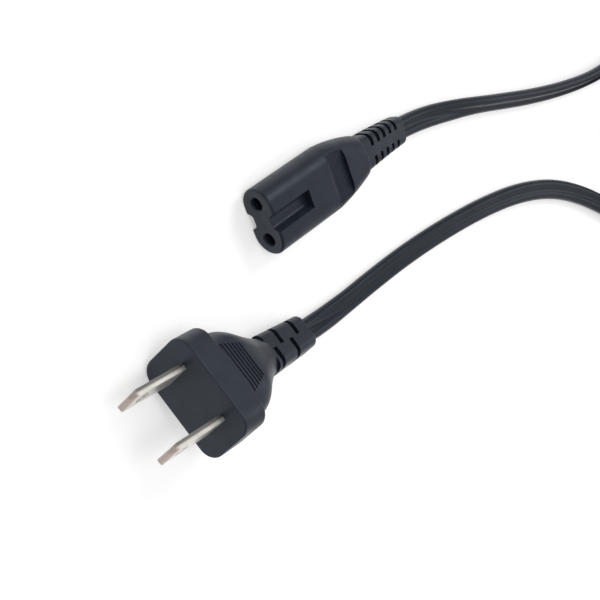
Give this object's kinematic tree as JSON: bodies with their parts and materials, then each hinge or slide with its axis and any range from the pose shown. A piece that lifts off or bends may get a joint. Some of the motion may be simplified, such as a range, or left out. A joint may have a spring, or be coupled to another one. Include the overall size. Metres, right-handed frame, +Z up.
{
  "type": "figure eight power connector",
  "caption": "Moulded figure-eight mains connector with polarising channels and slotted strain relief, on a flat two-core lead that ends in a flat-blade plug.",
  "frame": {"origin": "on the table under the middle of the connector, which lies on one broad side", "axes": "+X along the connector from its nose to its strain relief, +Y across it through the two pin holes, +Z up from the broad side that it lies on"},
  "size_m": [0.2666, 0.1034, 0.0241],
  "materials": {
    "moulding_black": "satin moulded PVC with a fine texture",
    "cord_black": "smooth, slightly glossy PVC insulation",
    "insert_black": "smooth hard plastic",
    "carrier_black": "smooth hard plastic",
    "contact_brass": "bright rolled brass",
    "blade_nickel": "nickel plate with fine rolling marks",
    "copper_strands": "bare stranded copper",
    "tie_black": "satin plastic over wire"
  },
  "bodies": {
    "root": {"connector_shell": "moulding_black", "contact_carrier": "carrier_black", "contact_left": "contact_brass", "contact_right": "contact_brass", "connector_core_left": "cord_black", "connector_core_right": "cord_black", "connector_strands_left": "copper_strands", "connector_strands_right": "copper_strands", "cord_run_connector": "cord_black", "cord_coil": "cord_black", "coil_tie": "tie_black", "cord_run_plug": "cord_black", "plug_shell": "moulding_black", "blade_insert": "insert_black", "blade_left": "blade_nickel", "blade_right": "blade_nickel", "plug_core_left": "cord_black", "plug_core_right": "cord_black", "plug_strands_left": "copper_strands", "plug_strands_right": "copper_strands"}
  },
  "joints": []
}
